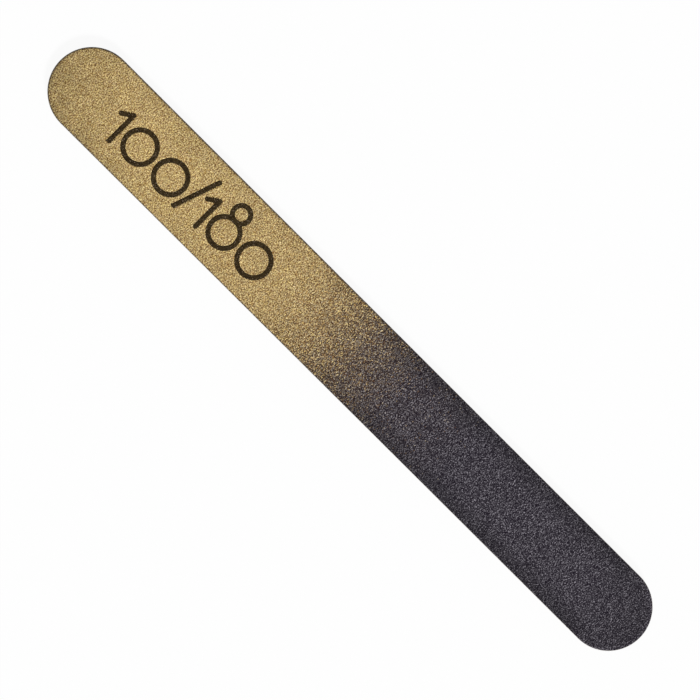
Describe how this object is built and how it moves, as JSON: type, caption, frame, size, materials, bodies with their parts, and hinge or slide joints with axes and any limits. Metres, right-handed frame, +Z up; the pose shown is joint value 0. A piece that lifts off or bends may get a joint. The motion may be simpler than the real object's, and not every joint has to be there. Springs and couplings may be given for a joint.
{
  "type": "nail file",
  "caption": "Straight cushioned nail file with half-round ends: a coarse and a fine abrasive face on foam, over a stiff core board.",
  "frame": {"origin": "centre of the fine abrasive face, on the surface that the file lies on", "axes": "+X along the file towards its dark end, +Y across it, +Z up out of the coarse face"},
  "size_m": [0.178, 0.0192, 0.0041],
  "materials": {
    "coarse_grit": "matte",
    "fine_grit": "matte",
    "backing_paper": "matte",
    "adhesive_film": "satin",
    "foam": "matte",
    "core_plastic": "satin"
  },
  "bodies": {
    "root": {"lower_abrasive_coat": "fine_grit", "lower_backing_paper": "backing_paper", "lower_paper_adhesive": "adhesive_film", "lower_foam_cushion": "foam", "lower_core_adhesive": "adhesive_film", "core_board": "core_plastic", "upper_core_adhesive": "adhesive_film", "upper_foam_cushion": "foam", "upper_paper_adhesive": "adhesive_film", "upper_backing_paper": "backing_paper", "upper_abrasive_coat": "coarse_grit"}
  },
  "joints": []
}
